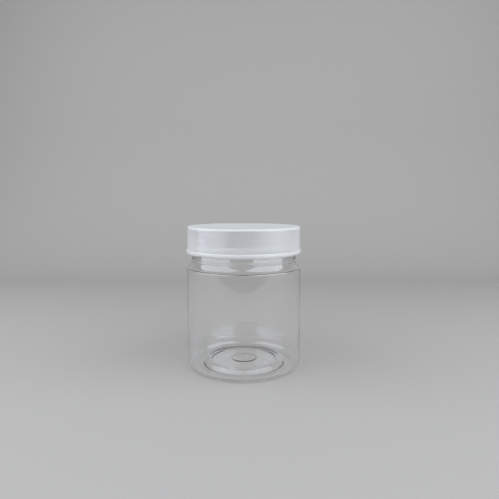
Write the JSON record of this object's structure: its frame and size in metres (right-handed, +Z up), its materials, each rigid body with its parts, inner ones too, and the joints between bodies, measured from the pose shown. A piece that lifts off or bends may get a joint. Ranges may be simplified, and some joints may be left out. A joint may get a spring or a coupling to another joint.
{
  "type": "wide mouth screw lid jar",
  "caption": "Clear straight-sided wide-mouth jar with a milky screw lid and a sealing liner; the lid turns and rises on its thread.",
  "frame": {"origin": "centre of the ring that the jar stands on", "axes": "+Z up the jar's axis, from the base to the lid; +X and +Y across it"},
  "size_m": [0.0694, 0.0694, 0.0856],
  "materials": {
    "clear_pet": "gloss",
    "milky_polypropylene": "satin",
    "polyethylene_liner": "matte"
  },
  "bodies": {
    "jar": {"jar": "clear_pet"},
    "liner": {"liner": "polyethylene_liner"},
    "lid": {"lid": "milky_polypropylene"}
  },
  "joints": [
    {"name": "lid_rise", "type": "slide", "parent": "jar", "child": "liner", "axis": [0, 0, 1], "range_m": [0, 0.006]},
    {"name": "lid_turn", "type": "hinge", "parent": "liner", "child": "lid", "pos_m": [0, 0, 0.0777], "axis": [0, 0, 1], "range_deg": [0, 500]}
  ],
  "couplings": [
    {"joint": "lid_rise", "follows": "lid_turn", "m_per_rad": 0.00067323}
  ]
}
